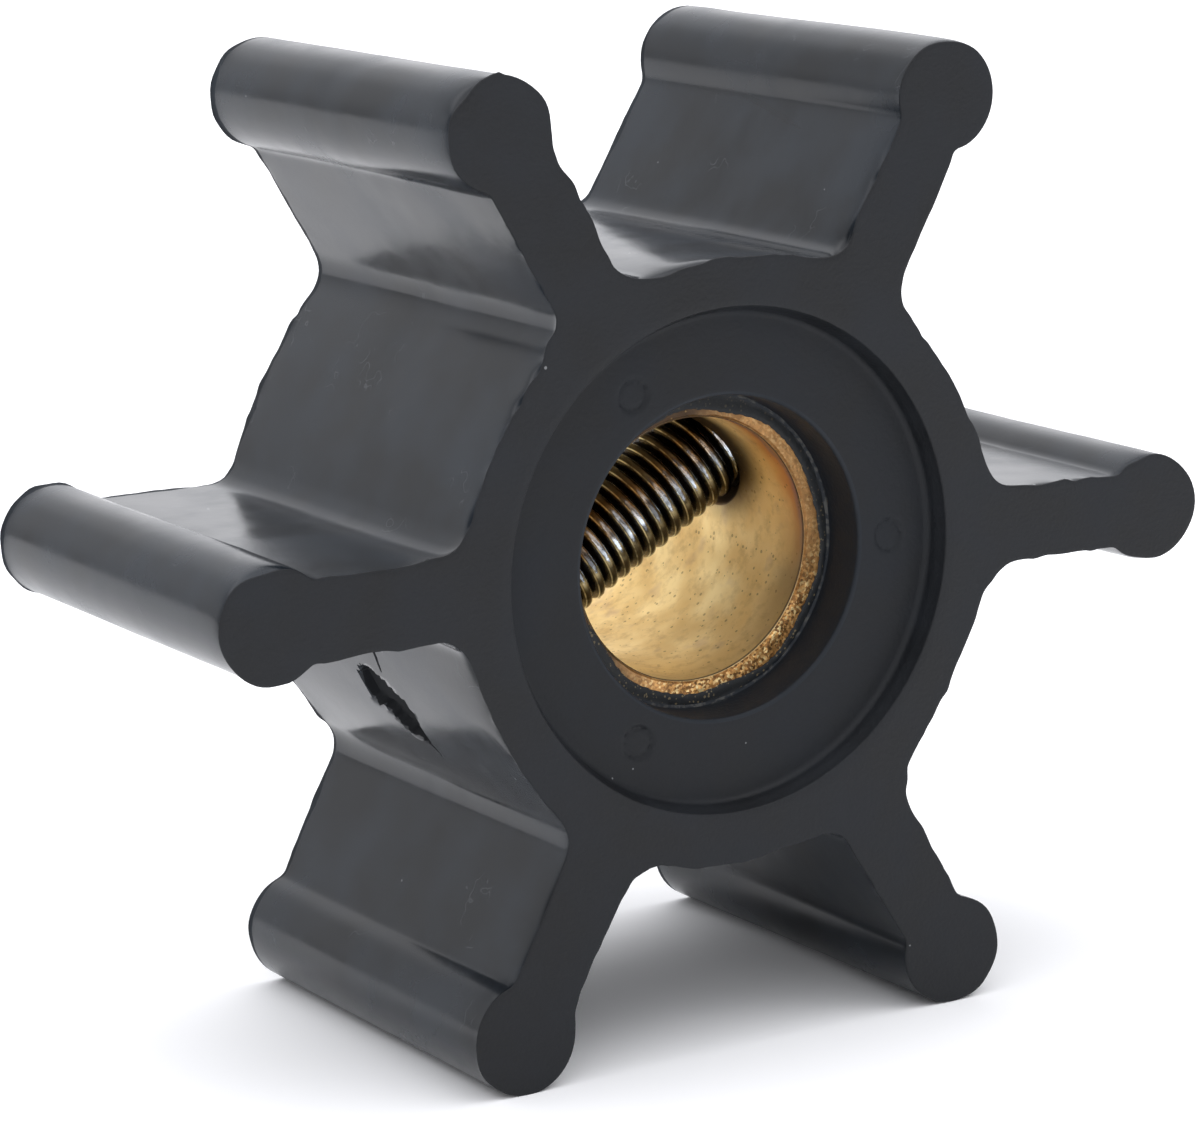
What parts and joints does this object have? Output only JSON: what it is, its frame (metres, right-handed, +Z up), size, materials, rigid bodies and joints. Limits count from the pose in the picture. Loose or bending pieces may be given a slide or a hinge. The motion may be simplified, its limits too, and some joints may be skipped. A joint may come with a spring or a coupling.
{
  "type": "flexible vane pump impeller",
  "caption": "Moulded rubber pump impeller with round-tipped flexible vanes, bonded to a brass bush that a threaded screw across its bore drives.",
  "frame": {"origin": "on the axis of rotation, at half the width of the rubber", "axes": "Y along the axis of rotation, the face with the three locating marks towards -Y; first vane along +X; +Z up, standing on the tips of the two lower vanes"},
  "size_m": [0.051, 0.022, 0.0448],
  "materials": {
    "black_rubber": "matte moulded faces, satin flanks",
    "brass": "satin bore, rough end faces",
    "screw_steel": "smooth dark thread"
  },
  "bodies": {
    "root": {"rubber_impeller": "black_rubber", "brass_bush": "brass", "drive_screw": "screw_steel"}
  },
  "joints": []
}
